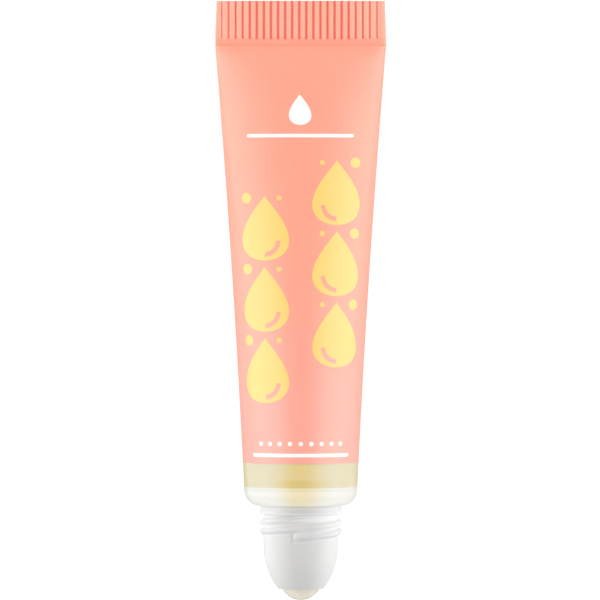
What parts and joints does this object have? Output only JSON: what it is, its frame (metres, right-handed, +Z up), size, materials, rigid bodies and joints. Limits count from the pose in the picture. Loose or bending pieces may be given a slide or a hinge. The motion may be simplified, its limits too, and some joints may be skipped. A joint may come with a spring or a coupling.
{
  "type": "nail oil rollerball",
  "caption": "Soft plastic squeeze tube with a flat crimped seal, an oil window, a screw collar and a free-rolling ball in a domed nose.",
  "frame": {"origin": "centre of the footprint, on the surface that the tube lies on", "axes": "+Y along the tube from the ball to the seal, +X across its width, +Z up through its printed front"},
  "size_m": [0.0242, 0.0846, 0.016],
  "materials": {
    "coral_print": "satin printed soft plastic",
    "natural_plastic": "milky, lets light through",
    "white_plastic": "satin white moulding",
    "seat_plastic": "plain moulding",
    "ball_plastic": "polished cream ball",
    "oil": "clear straw-yellow liquid"
  },
  "bodies": {
    "tube": {"tube_sleeve": "coral_print", "tube_head": "natural_plastic", "roller_housing": "white_plastic", "ball_seat": "seat_plastic", "oil_fill": "oil"},
    "ball": {"roller_ball": "ball_plastic"}
  },
  "joints": [
    {"name": "ball_roll", "type": "hinge", "parent": "tube", "child": "ball", "pos_m": [0, -0.03932, 0.00887], "axis": [1, 0, 0], "continuous": true}
  ]
}
